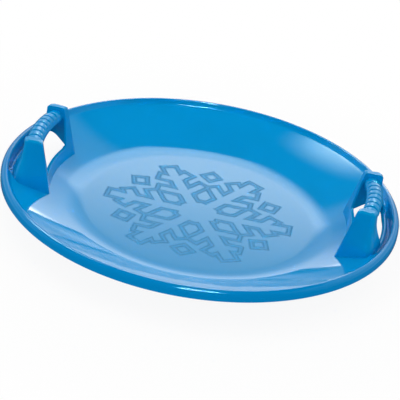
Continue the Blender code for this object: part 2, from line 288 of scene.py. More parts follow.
class Light(bpy.types.PropertyGroup):
    """The light round the slider. The gloss sees a dim room with two bright softboxes and a strip light."""

    matt: number("Matt", "Even light on the plastic's own colour", 0.8)
    room: number("Room", "What the gloss sees behind, above the horizon", 1.3)
    horizon: number("Horizon", "What the gloss sees behind, at the horizon", 2.1)
    ceiling: number("Ceiling", "What the gloss sees overhead", 0.1)
    front: number("Front", "What the gloss sees on the camera's side", 0.13)
    softbox: number("Softbox", "The bright softbox behind", 4.8)
    softbox_top: number("Softbox Top", "The upper half of that softbox", 6.6)
    side_box: number("Side Softbox", "The softbox on the left, seen on the right of the back wall", 25.0)
    skyline: number("Skyline", "What the gloss sees just above the floor's far edge", 7.5)
    strip: number("Strip", "The strip light high in front, seen in the roll of the rim", 330.0)
    floor: share("Floor", "How much of the floor's white the gloss sees", 0.08)
    lamp_size: length("Lamp Size", "Width of the lamp that casts the shadow", 1.6)
    lamp_power: number("Lamp Power", "Power of that lamp in watts", 14.0)


class Stage(bpy.types.PropertyGroup):
    """Floor, light and camera."""

    floor_size: length("Floor Size", "Side of the pale floor", 8.0)
    floor_white: share("Floor White", "Brightness of the floor", 0.9)
    floor_glow: share("Floor Glow", "How far the floor near the slider is plain white to the eye", 0.92)
    camera_distance: length("Camera Distance", "From the middle of the pan's floor", 2.018)
    camera_height: angle("Camera Height", "Elevation of the camera", 29.0)
    camera_turn: angle("Camera Turn", "How far the camera stands to the right", 6.2)
    camera_roll: angle("Camera Roll", "How far the picture leans", 9.27)
    focal_px: number("Focal Length", "Focal length in pixels of a picture 400 pixels wide", 1331.0)
    aim_right: length("Aim Right", "How far right of the middle the camera looks", 0.0033)
    aim_up: length("Aim Up", "How far above the middle the camera looks", 0.0174)


SETTINGS = {
    "slider_pan": PanSizes,
    "slider_handle": HandleSizes,
    "slider_grip": GripSizes,
    "slider_finish": Finish,
    "slider_design": Design,
    "slider_light": Light,
    "slider_stage": Stage,
}


# Shader graph helpers


def maths(operation):
    """A method that adds one Math node, fed by the socket and by what the method is given."""
    return lambda self, *others: self.math(operation, self, *others)


def reflected(operation):
    """The same for an operator whose right-hand side is the socket."""
    return lambda self, other: self.math(operation, other, self)


class Socket:
    """A number socket whose arithmetic adds Math nodes to its tree."""

    __add__, __radd__ = maths("ADD"), reflected("ADD")
    __sub__, __rsub__ = maths("SUBTRACT"), reflected("SUBTRACT")
    __mul__, __rmul__ = maths("MULTIPLY"), reflected("MULTIPLY")
    __truediv__, __rtruediv__ = maths("DIVIDE"), reflected("DIVIDE")
    __abs__ = maths("ABSOLUTE")
    wrapped = maths("FLOORED_MODULO")
    lowest = maths("MINIMUM")
    highest = maths("MAXIMUM")
    sqrt = maths("SQRT")
    cos = maths("COSINE")
    sin = maths("SINE")
    arcsine = maths("ARCSINE")
    angle_to = maths("ARCTAN2")

    def __init__(self, tree, link):
        self.tree = tree
        self.link = link

    def math(self, operation, *values):
        node = self.tree.nodes.new("ShaderNodeMath")
        node.operation = operation
        for target, value in zip(node.inputs, values):
            connect(self.tree, target, value)
        return Socket(self.tree, node.outputs[0])

    def __neg__(self):
        return self * -1.0

    def clamped(self):
        return self.highest(0.0).lowest(1.0)

    def in_degrees(self):
        return self * (180 / math.pi)


def connect(tree, target, value):
    """Links a socket, or sets a plain value."""
    if isinstance(value, Socket):
        value = value.link
    if isinstance(value, bpy.types.NodeSocket):
        tree.links.new(value, target)
    else:
        target.default_value = value


class Graph:
    """A material's or world's node tree."""

    def __init__(self, tree):
        self.tree = tree
        tree.nodes.clear()

    def node(self, kind, settings=None, **inputs):
        """Adds a node, sets its settings, and then fills its inputs by name or by number, as in _0."""
        node = self.tree.nodes.new("ShaderNode" + kind)
        for name, value in (settings or {}).items():
            setattr(node, name, value)
        for name, value in inputs.items():
            plain = name.replace("_", " ").strip()
            target = node.inputs[int(plain)] if plain.isdigit() else node.inputs[plain]
            connect(self.tree, target, value)
        return node

    def blend(self, factor, first, second):
        """Mixes two colours."""
        return self.node("Mix", {"data_type": "RGBA"}, _0=factor, _6=first, _7=second).outputs[2]

    def place(self, coordinates="Object"):
        """The object's own coordinates, or a world's directions, as three numbers."""
        split = self.node("SeparateXYZ", Vector=self.node("TexCoord").outputs[coordinates])
        return [Socket(self.tree, output) for output in split.outputs]

    def rays(self):
        """1 for the camera's rays, and 1 for the rays that a gloss sends out."""
        outputs = self.node("LightPath").outputs
        return [Socket(self.tree, outputs[name]) for name in ("Is Camera Ray", "Is Glossy Ray")]

    def noise(self, scale, detail):
        coordinates = self.node("TexCoord").outputs["Object"]
        texture = self.node("TexNoise", Vector=coordinates, Scale=scale, Detail=detail)
        return Socket(self.tree, texture.outputs[0])


def rgba(values):
    return (*values, 1.0)


def step_between(value, low, high):
    """0 at low and 1 at high, smooth between and flat beyond."""
    part = ((value - low) / (high - low)).clamped()
    return part * part * (3.0 - 2.0 * part)


def band(value, low, high, soft):
    """1 between low and high, and 0 beyond, with soft edges."""
    above_low = step_between(value, low - soft, low + soft)
    return above_low * (1.0 - step_between(value, high - soft, high + soft))


def new_material(name):
    material = bpy.data.materials.new(name)
    material.use_nodes = True
    return material, Graph(material.node_tree)


def plastic(graph, finish, base, roughness, height=None):
    """Glossy moulded plastic. Its gloss is tinted where the surface faces the eye and white at a glance,
    and a thin clear gloss lies over it."""
    ripple = graph.noise(*RIPPLE_NOISE)
    fine = graph.node("Bump", Strength=RIPPLE_STRENGTH, Distance=RIPPLE_DEPTH, Height=ripple)
    normal = fine.outputs[0]
    if height is not None:
        relief = graph.node("Bump", Strength=1.0, Distance=BUMP_REACH, Height=height, Normal=normal)
        normal = relief.outputs[0]
    shader = graph.node(
        "BsdfPrincipled",
        Base_Color=base,
        Roughness=roughness,
        Normal=normal,
        IOR=REFRACTION,
        Specular_Tint=rgba(finish.tint),
        Coat_Weight=finish.coat,
        Coat_Roughness=finish.gloss,
    )
    graph.node("OutputMaterial", Surface=shader.outputs[0])


def drifting_blue(graph, finish):
    """The plastic's colour, a little deeper in places, as in a real moulding."""
    drift = step_between(graph.noise(*DRIFT_NOISE), *DRIFT_FADE)
    deeper = rgba([c * (1 - finish.variation) for c in finish.blue])
    return graph.blend(drift, rgba(finish.blue), deeper)


def uneven(graph, noise, spread, middle):
    """A roughness that a noise spreads round its middle."""
    return graph.noise(*noise) * spread + (middle - spread / 2)


def shell_material(finish):
    """Polished handle frames."""
    material, graph = new_material("gloss_shell")
    roughness = uneven(graph, SHELL_NOISE, SHELL_SPREAD, finish.gloss)
    plastic(graph, finish, drifting_blue(graph, finish), roughness)
    return material


def grip_material(finish):
    """The ribbed grips, a little duller and more uneven from use."""
    material, graph = new_material("gloss_grip")
    roughness = uneven(graph, GRIP_NOISE, GRIP_SPREAD, finish.gloss + GRIP_SPREAD / 2)
    plastic(graph, finish, drifting_blue(graph, finish), roughness)
    return material


def crystal(graph, design):
    """Distance to the outline of a six-armed snow crystal, below 0 inside it, and the radius."""
    x, y, z = graph.place()
    radius = (x * x + y * y).sqrt()
    sixth = math.pi / 3
    folded = abs((y.angle_to(x) + sixth / 2).wrapped(sixth) - sixth / 2)
    along = radius * folded.cos()
    across = radius * folded.sin()
    shape = (across - design.arm).highest(along - design.radius)
    for start, reach in CRYSTAL_BRANCHES:
        out = along - start * design.radius
        ahead = out * math.cos(sixth) + across * math.sin(sixth)
        beside = abs(out * math.sin(sixth) - across * math.cos(sixth)) - design.branch
        shape = shape.lowest(beside.highest(ahead - reach * design.radius).highest(-ahead))
    shape = shape.lowest(along - CRYSTAL_HUB * design.radius)
    middle = sixth / 2 - folded
    out = abs(radius * middle.cos() - CRYSTAL_DIAMOND * design.radius)
    diamond = (out + radius * middle.sin()) * DIAMOND_SLANT - CRYSTAL_DIAMOND_SIZE * design.radius
    return shape.lowest(diamond), radius


def pan_material(finish, design):
    """The pan: polished walls, darker blues painted as shade on the rim and on the floor disc, a duller
    floor disc, and the tone-on-tone crystal.
    """
    material, graph = new_material("gloss_pan")
    shape, radius = crystal(graph, design)
    above = step_between(graph.place()[2], *UPPER_SIDE)
    soft = design.soft / 2
    inner, outer = design.line / 2 - soft, design.line / 2 + soft
    edge = 1.0 - step_between(abs(shape), inner, outer)
    border_edge = 1.0 - step_between(abs(shape - design.border), inner, outer)
    lines = edge.highest(border_edge) * above
    outside = step_between(shape, -soft, soft) * above
    field = outside * (1.0 - step_between(shape, design.border - soft, design.border + soft))
    field_blue, line_blue = [
        rgba([c * (1 - tone) for c in finish.floor_shade_blue])
        for tone in (design.field_tone, design.line_tone)
    ]
    # Painted shade: the floor mask gives the floor disc a darker blue as well as its duller gloss, and the
    # rim mask gives the rim a darker blue
    floor = (1.0 - step_between(radius, *FLOOR_FADE)) * above
    rim = step_between(radius, *RIM_SHADE_FADE)
    base = graph.blend(rim, drifting_blue(graph, finish), rgba(finish.rim_shade_blue))
    base = graph.blend(floor, base, rgba(finish.floor_shade_blue))
    base = graph.blend(field, base, field_blue)
    base = graph.blend(lines, base, line_blue)
    roughness = uneven(graph, SHELL_NOISE, PAN_SPREAD, finish.gloss)
    roughness = roughness + floor * (finish.floor_gloss - finish.gloss)
    roughness = roughness + field * (finish.field_gloss - finish.floor_gloss)
    roughness = roughness * (1.0 - lines) + lines * finish.line_gloss
    plastic(graph, finish, base, roughness, lines * (-design.relief / BUMP_REACH))
    return material


# Shapes


def wall_height(pan, radius):
    """Height of the pan's upper face: a dished floor, a blend, and a wall that steepens outwards."""
    foot = math.tan(pan.foot_angle)
    if radius > pan.foot_radius:
        across = radius - pan.foot_radius + pan.wall_round * math.sin(pan.foot_angle)
        low = pan.foot_height + pan.wall_round * math.cos(pan.foot_angle)
        return low - math.sqrt(pan.wall_round**2 - across**2)
    slope = 2 * pan.floor_dish / pan.floor_radius
    run = pan.foot_radius - pan.floor_radius
    edge = pan.foot_height - (slope + foot) / 2 * run
    if radius > pan.floor_radius:
        out = radius - pan.floor_radius
        return edge + slope * out + (foot - slope) * out**2 / (2 * run)
    return edge - pan.floor_dish * (1 - (radius / pan.floor_radius) ** 2)


def underside(pan, upper):
    """The pan's lower face: flat below the floor, and a skin's thickness below the wall and the rim."""
    points = []
    for point in offset_line(upper, pan.skin):
        if point.x < pan.foot_radius:
            out = max(0.0, point.x - pan.base_radius) / (pan.foot_radius - pan.base_radius)
            point.y = max(0.0, min(point.y, (pan.foot_height - pan.skin) * out**2))
        points.append(point)
    points[0] = Vector((0.0, 0.0))
    return points


def rim_inner(pan):
    return pan.radius - pan.rim_width


def crown_height(pan):
    return wall_height(pan, rim_inner(pan)) + pan.rim_rise


def between(low, high, part):
    return low + (high - low) * part


def spaced(low, high, steps):
    """Evenly spaced numbers, with both ends."""
    return [between(low, high, i / steps) for i in range(steps + 1)]


def arc_points(centre, radius, start, end, steps):
    """Points on an arc of (radius, height) from one angle to another."""
    x, y = centre
    return [(x + radius * math.cos(t), y + radius * math.sin(t)) for t in spaced(start, end, steps)]


def rounded(start, corner, end, steps):
    """Points that round a corner, from start to end."""
    shares = spaced(0.0, 1.0, steps)
    return [start * (1 - t) ** 2 + corner * 2 * t * (1 - t) + end * t**2 for t in shares]


def wall_points(pan):
    """The pan's upper face from the centre to the top of the wall."""
    points = [Vector((0.0, wall_height(pan, 0.0)))]
    floor, foot = pan.floor_radius, pan.foot_radius
    stretches = ((0.0, floor, FLOOR_STEPS), (floor, foot, WALL_STEPS), (foot, rim_inner(pan), WALL_STEPS))
    for start, end, steps in stretches:
        points += [Vector((radius, wall_height(pan, radius))) for radius in spaced(start, end, steps)[1:]]
    return points


def pan_profile(pan):
    """The pan's upper face from the centre outwards, over the rim's crown and down its skirt."""
    points = wall_points(pan)
    inner = points.pop()
    crown = crown_height(pan)
    shoulder = Vector((pan.radius - pan.crown_round, crown))
    before = inner + (points[-1] - inner).normalized() * pan.inner_round
    after = inner + (shoulder - inner).normalized() * pan.inner_round
    points += rounded(before, inner, after, INNER_ROUND_STEPS)
    slope_end = shoulder + (inner - shoulder).normalized() * pan.crown_edge
    points.append(inner.lerp(slope_end, 0.5))
    middle = (shoulder.x, crown - pan.crown_round)
    start = math.acos(pan.crown_edge / pan.crown_round)
    roll = [Vector(point) for point in arc_points(middle, pan.crown_round, start, 0.0, ROLL_STEPS)]
    points += rounded(slope_end, shoulder, roll[0], CROWN_EDGE_STEPS) + roll[1:]
    points.append(Vector((pan.radius, crown - pan.rim_drop + pan.lip_round)))
    return points


def offset_line(points, distance):
    """The line moved sideways by a distance, towards its right-hand side."""
    moved = []
    for i, point in enumerate(points):
        before = points[max(0, i - 1)]
        after = points[min(len(points) - 1, i + 1)]
        along = (after - before).normalized()
        moved.append(point + Vector((along.y, -along.x)) * distance)
    return moved


def linked(name, data):
    """A new object in the scene."""
    obj = bpy.data.objects.new(name, data)
    bpy.context.scene.collection.objects.link(obj)
    return obj


def new_object(name, bm):
    mesh = bpy.data.meshes.new(name)
    bm.to_mesh(mesh)
    bm.free()
    return linked(name, mesh)


def on_circle(radius, turn):
    return Vector((radius * math.cos(turn), radius * math.sin(turn)))


def swung(section, turn):
    """A section of (radius, height) points, turned about Z."""
    return [(r * math.cos(turn), r * math.sin(turn), z) for r, z in section]


def oblong(near, far, low, high):
    """The corners of an oblong section."""
    return [(near, low), (far, low), (far, high), (near, high)]


def turned(name, section, steps):
    """A closed section of (radius, height) points, that starts and ends on the axis, turned about Z."""
    bm = bmesh.new()
    rings = []
    for point in section:
        if point.x < ON_AXIS:
            rings.append([bm.verts.new((0.0, 0.0, point.y))])
        else:
            ring = [on_circle(point.x, 2 * math.pi * i / steps) for i in range(steps)]
            rings.append([bm.verts.new((*place, point.y)) for place in ring])
    for low, high in zip(rings, rings[1:]):
        for i in range(steps):
            j = (i + 1) % steps
            corners = [low[i % len(low)], high[i % len(high)], high[j % len(high)], low[j % len(low)]]
            bm.faces.new(list(dict.fromkeys(corners)))
    bmesh.ops.recalc_face_normals(bm, faces=bm.faces[:])
    return new_object(name, bm)


def smooth(obj, sharp=SHARP):
    obj.data.shade_smooth()
    obj.data.set_sharp_from_angle(angle=sharp)


def even_shading(obj):
    """Lets the large faces set the shading, so that flat parts look flat beside rounded edges."""
    smooth(obj, FRAME_SHARP)
    weighted = obj.modifiers.new("Shading", "WEIGHTED_NORMAL")
    weighted.keep_sharp = True
    apply_modifiers(obj)


def merge_slivers(obj):
    """Merges the slivers that Booleans leave."""
    bm = bmesh.new()
    bm.from_mesh(obj.data)
    bmesh.ops.remove_doubles(bm, verts=bm.verts[:], dist=SLIVER)
    bmesh.ops.dissolve_degenerate(bm, edges=bm.edges[:], dist=SLIVER)
    bm.to_mesh(obj.data)
    bm.free()


def lofted(name, rings):
    """A closed solid skinned over rings of equal counts, in triangles that run one way."""
    bm = bmesh.new()
    loops = [[bm.verts.new(point) for point in ring] for ring in rings]
    total = len(loops[0])
    for low, high in zip(loops, loops[1:]):
        for i in range(total):
            j = (i + 1) % total
            bm.faces.new((low[i], low[j], high[j]))
            bm.faces.new((low[i], high[j], high[i]))
    bm.faces.new(loops[0])
    bm.faces.new(loops[-1])
    bmesh.ops.recalc_face_normals(bm, faces=bm.faces[:])
    return new_object(name, bm)


def block(name, low, high):
    bm = bmesh.new()
    bmesh.ops.create_cube(bm, size=1.0)
    bmesh.ops.scale(bm, vec=Vector(high) - Vector(low), verts=bm.verts[:])
    bmesh.ops.translate(bm, vec=(Vector(high) + Vector(low)) / 2, verts=bm.verts[:])
    return new_object(name, bm)


def sector(name, section, half_angle, steps):
    """A closed section of (radius, height) points swept about Z, centred on +X."""
    turns = [half_angle * (2 * i / steps - 1) for i in range(steps + 1)]
    return lofted(name, [swung(section, turn) for turn in turns])


def combine(obj, other, operation):
    """Applies a Boolean and deletes the other object."""
    modifier = obj.modifiers.new(other.name, "BOOLEAN")
    modifier.object = other
    modifier.operation = operation
    modifier.solver = "EXACT"
    apply_modifiers(obj)
    mesh = other.data
    bpy.data.objects.remove(other)
    bpy.data.meshes.remove(mesh)


def apply_modifiers(obj):
    graph = bpy.context.evaluated_depsgraph_get()
    shaped = bpy.data.meshes.new_from_object(obj.evaluated_get(graph))
    old = obj.data
    obj.modifiers.clear()
    obj.data = shaped
    bpy.data.meshes.remove(old)


def sector_outline(inner, half_inner, outer, half_outer, round_inner, round_outer):
    """Outline of a handle across Z: one arc towards the pan, one towards the rim, and two cheeks."""
    low = math.asin(half_inner / inner)
    high = math.asin(half_outer / outer)
    inner_corner = on_circle(inner, low)
    outer_corner = on_circle(outer, high)
    along = (outer_corner - inner_corner).normalized()
    arc_end = low - round_inner / inner
    half = [on_circle(inner, arc_end * i / OUTLINE_STEPS) for i in range(OUTLINE_STEPS + 1)]
    half += rounded(half.pop(), inner_corner, inner_corner + along * round_inner, INNER_CORNER_STEPS)
    arc_start = high - round_outer / outer
    start = outer_corner - along * round_outer
    half += rounded(start, outer_corner, on_circle(outer, arc_start), OUTER_CORNER_STEPS)
    half += [on_circle(outer, arc_start * i / OUTLINE_STEPS) for i in reversed(range(OUTLINE_STEPS))]
    return [Vector((p.x, -p.y)) for p in half[:0:-1]][1:] + half


class HandleShape:
    """Places and sections of a handle at +X, worked out from the sizes."""

    def __init__(self, scene):
        pan, handle, grip = scene.slider_pan, scene.slider_handle, scene.slider_grip
        self.pan, self.handle, self.grip = pan, handle, grip
        self.crown = crown_height(pan)
        self.leg_outer = pan.radius - handle.rim_lip
        self.leg_inner = self.leg_outer - pan.skin
        self.moat_inner = self.leg_inner - handle.moat_width
        self.outer = self.moat_inner - BAND_LEDGE
        self.inner = self.outer - handle.depth
        self.band = self.crown - handle.band_drop
        self.sill = self.crown - handle.sill_drop
        self.moat_floor = self.band - handle.moat_depth
        self.window_half_top = grip.length / 2
        self.grip_bottom = handle.height - grip.bottom_drop
        self.profile = pan_profile(pan)

    def rim_height(self, radius):
        """Height of the pan's upper face, from the wall over the step to the rim's crown."""
        for low, high in zip(self.profile, self.profile[1:]):
            if low.x <= radius <= high.x:
                return between(low.y, high.y, (radius - low.x) / (high.x - low.x))
        raise ValueError("no rim at this radius")

    def outline(self, height, inset=0.0, cap=0.0):
        """The outline at one height, drawn in by inset on all sides, and by cap with rounder corners."""
        handle = self.handle
        foot = wall_height(self.pan, self.inner)
        rise = max(0.0, (height - foot) / (handle.height - foot))
        base = wall_height(self.pan, self.outer) + self.pan.skin
        climb = (height - base) / (handle.height - base)
        climb = (climb + math.hypot(climb, FLARE_SOFT)) / 2
        flare = (1 - min(1.0, climb)) ** FLARE_POWER
        inner = self.inner + handle.pan_side_lean * rise + inset + cap
        half_inner = between(handle.foot_half_inner, handle.cap_half_inner, rise) - inset - cap
        outer = self.outer - handle.rim_side_lean * (1 - flare) - inset - cap
        half_outer = between(handle.cap_half_outer, handle.foot_half_outer, flare)
        half_outer = half_outer - inset * (1 + flare / 2) - cap
        corner = between(handle.corner_cap, handle.corner_foot, flare)
        points = sector_outline(inner, half_inner, outer, half_outer, handle.corner_inner, corner)
        return [(p.x, p.y, height) for p in points]

    def levels(self, top):
        """Heights of the sections, closest together where the cheeks flare."""
        base = wall_height(self.pan, self.outer) + self.pan.skin
        foot = wall_height(self.pan, self.inner)
        flared = [between(base, top, part**FLARE_SPACING) for part in spaced(0.0, 1.0, FLARE_LEVELS)]
        return spaced(foot, base, FOOT_LEVELS)[:-1] + flared

    def solid(self, name, inset=0.0, bottom=-REACH / 2, top=None, edge=0.0):
        """The outer form as one solid."""
        top = self.handle.height if top is None else top
        low = self.outline(wall_height(self.pan, self.inner), inset)
        rings = [[(x, y, bottom) for x, y, z in low]]
        rings += [self.outline(height, inset) for height in self.levels(top - edge)]
        if edge > 0:
            for i in range(1, CAP_STEPS + 1):
                turn = math.pi / 2 * i / CAP_STEPS
                height = top - edge * (1 - math.sin(turn))
                rings.append(self.outline(height, inset, self.handle.cap_crown * (1 - math.cos(turn))))
        return lofted(name, rings)

    def window(self):
        """The finger window with all above it between the caps. It goes on below the band, to the middle
        of the moat."""
        handle, skin = self.handle, self.pan.skin
        near, far = self.inner - REACH, self.outer + REACH
        slope = (self.band - 2 * skin - self.sill) / (self.outer - self.inner)
        rings = []
        for x in (near, far):
            floor = self.sill + slope * (x - self.inner)
            corner = Vector((handle.window_half_bottom, floor))
            shoulder = Vector((self.window_half_top, self.grip_bottom - skin))
            side = corner + (shoulder - corner).normalized() * handle.window_corner
            half = rounded(corner - Vector((handle.window_corner, 0.0)), corner, side, WINDOW_STEPS)
            half += [shoulder, Vector((self.window_half_top, handle.height + REACH))]
            full = half + [Vector((-p.x, p.y)) for p in reversed(half)]
            rings.append([(x, p.x, p.y) for p in full])
        cutter = lofted("window", rings)
        reach = self.leg_inner - handle.moat_width / 2
        top = handle.height + 2 * REACH
        drum = [Vector(corner) for corner in oblong(0.0, reach, top, 0.0)]
        combine(cutter, turned("drum", drum, CUTTER_STEPS), "INTERSECT")
        return cutter

    def band_ring(self, turn, half_angle):
        """Section of the band, of the moat beyond it, which fades out at its ends, and of the leg inside
        the rim."""
        pan = self.pan
        skin = pan.skin
        depth = step_number((half_angle - abs(turn)) / self.handle.moat_taper)
        band_inner = self.outer - self.handle.band_width
        roll = (self.moat_inner - band_inner) / 2
        edge = self.band - BAND_SINK - roll
        crest = arc_points((band_inner + roll, edge), roll, math.pi, 0.0, CREST_STEPS)[:-1]
        width = self.leg_inner - self.moat_inner
        moat = []
        for across in spaced(0.0, 1.0, MOAT_STEPS):
            sunk = math.sin(math.pi * across * MOAT_SPAN) ** MOAT_POWER
            radius = self.moat_inner + width * across
            low = between(edge, self.moat_floor, sunk)
            moat.append((radius, between(self.rim_height(radius), low, depth)))
        leg = spaced(self.leg_inner, self.leg_outer, LEG_STEPS)
        bottom = edge - BAND_UNDER
        under = min(bottom, between(wall_height(pan, self.outer), self.moat_floor, depth) - skin)
        section = [
            *crest,
            *moat,
            *[(radius, self.rim_height(radius)) for radius in leg],
            (self.leg_outer, under),
            (self.outer - 2 * skin, under),
            (self.outer - 2 * skin - BAND_LEDGE, bottom),
            (band_inner, bottom),
        ]
        return swung(section, turn)

    def band_angle(self):
        return math.asin(self.handle.band_half / self.outer)

    def frame(self, name):
        """The whole frame as one mesh."""
        pan, handle = self.pan, self.handle
        body = self.solid(name, edge=handle.cap_edge)
        hollow = self.solid("hollow", handle.skin, -REACH, handle.height - handle.skin)
        end_half = self.window_half_top + handle.skin
        low = (self.inner - REACH, -end_half, self.grip_bottom)
        high = (self.outer + REACH, end_half, handle.height + REACH)
        combine(hollow, block("end_walls", low, high), "DIFFERENCE")
        combine(body, hollow, "DIFFERENCE")

        far = pan.radius + REACH
        lowered = [(point.x, point.y - handle.seat) for point in wall_points(pan)]
        lowered += [(far, wall_height(pan, far) - handle.seat), (far, -REACH), (0.0, -REACH)]
        combine(body, turned("below", [Vector(point) for point in lowered], CUTTER_STEPS), "DIFFERENCE")

        foot = wall_height(pan, self.inner)
        lean = handle.pan_side_lean * (self.sill - foot) / (handle.height - foot)
        lip = self.inner + lean + handle.sill_width
        start = self.inner + lean + handle.skin / 2
        sill = oblong(start, lip, self.sill - pan.skin, self.sill + pan.skin)
        reach = math.asin((handle.window_half_bottom + pan.skin) / lip)
        combine(body, sector("sill_lip", sill, reach, SILL_STEPS), "UNION")

        combine(body, self.window(), "DIFFERENCE")
        total = self.band_angle()
        rings = [self.band_ring(total * (2 * i / BAND_STEPS - 1), total) for i in range(BAND_STEPS + 1)]
        combine(body, lofted("band", rings), "UNION")
        return body

    def opening(self, turn):
        """What the pan leaves open for the frame at one side: the foot's inside and the ring beyond it."""
        foot = self.solid("foot_opening", self.handle.skin / 2, -REACH, self.handle.height)
        near, far = self.outer - 2 * self.pan.skin, self.leg_outer + RIM_SEAM
        ring = oblong(near, far, -REACH, self.handle.height)
        half = self.band_angle() + RIM_SEAM / self.outer
        edge = sector("edge_opening", ring, half, BAND_STEPS - 1)
        for cutter in (foot, edge):
            cutter.rotation_euler.z = turn
        return foot, edge


def step_number(part):
    part = min(1.0, max(0.0, part))
    return part * part * (3 - 2 * part)


def round_edges(obj, width):
    """Rounds off the moulded edges."""
    bevel = obj.modifiers.new("Edges", "BEVEL")
    bevel.width = width
    bevel.segments = EDGE_STEPS
    bevel.limit_method = "ANGLE"
    bevel.angle_limit = EDGE_SHARP
    bevel.use_clamp_overlap = False
    bevel.miter_outer = "MITER_ARC"
    bevel.loop_slide = False
    apply_modifiers(obj)


def groove_centres(grip):
    """Places of the grooves along the grip."""
    return [(i - (grip.grooves - 1) / 2) * grip.pitch for i in range(grip.grooves)]


def groove_depth(grip, y):
    """How far the ribbed surface lies below the tops of the ribs, at a place along the grip."""
    depth = 0.0
    for centre in groove_centres(grip):
        away = abs(y - centre)
        if away < grip.groove_width / 2:
            depth = grip.groove_depth * math.cos(math.pi * away / grip.groove_width) ** 2
    return depth


def grip_stations(grip):
    """Places along the grip: nine to draw each groove, one past it, and the ends with their necks."""
    half = grip.length / 2 - GRIP_CLEARANCE
    places = {-half, half}
    for i in range(1, NECK_STEPS + 1):
        places.add(half - grip.neck_length * i / NECK_STEPS)
        places.add(grip.neck_length * i / NECK_STEPS - half)
    for centre in groove_centres(grip):
        for i in range(GROOVE_STEPS + 1):
            places.add(round(centre + (i / GROOVE_STEPS - 0.5) * grip.groove_width, 6))
        places.add(round(centre + grip.pitch / 2, 6))
    return sorted(places)


def grip_ring(shape, y):
    """Section of the grip: a half round shell, open below. The grooves fade out on the side of the pan."""
    grip = shape.grip
    past = abs(y) - (grip.length / 2 - GRIP_CLEARANCE - grip.neck_length)
    radius = grip.radius - grip.neck * step_number(past / grip.neck_length)
    x = math.sqrt((shape.outer - grip.setback) ** 2 - y**2)
    z = shape.handle.height - grip.end_drop - grip.radius + grip.rise * (1 - (2 * y / grip.length) ** 2)
    outer = []
    for i in range(GRIP_SIDES + 1):
        turn = math.pi * i / GRIP_SIDES
        fade = min(1.0, max(0.0, (grip.groove_end - turn) / (grip.groove_end - grip.groove_fade)))
        reach = radius - groove_depth(grip, y) * fade
        outer.append((x + reach * math.cos(turn), z + reach * math.sin(turn)))
    inner = arc_points((x, z), grip.radius - grip.skin, math.pi, 0.0, GRIP_SIDES // 2)
    low = shape.grip_bottom
    section = [(outer[0][0], low), *outer, (outer[-1][0], low)]
    section += [(inner[0][0], low), *inner, (inner[-1][0], low)]
    return [(across, y, height) for across, height in section]


def dress(obj, node, material):
    """Puts a piece in the place of a CAD node."""
    obj.data.materials.clear()
    obj.data.materials.append(material)
    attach(obj, "root")
    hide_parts(node)


def place_pair(first, piece, material):
    """Dresses the piece at +X, and a copy of it turned to -X."""
    other = linked("left_" + piece + "_looks", first.data.copy())
    other.data.transform(Matrix.Rotation(math.pi, 4, "Z"))
    dress(first, "right_" + piece, material)
    dress(other, "left_" + piece, material)


# Operators


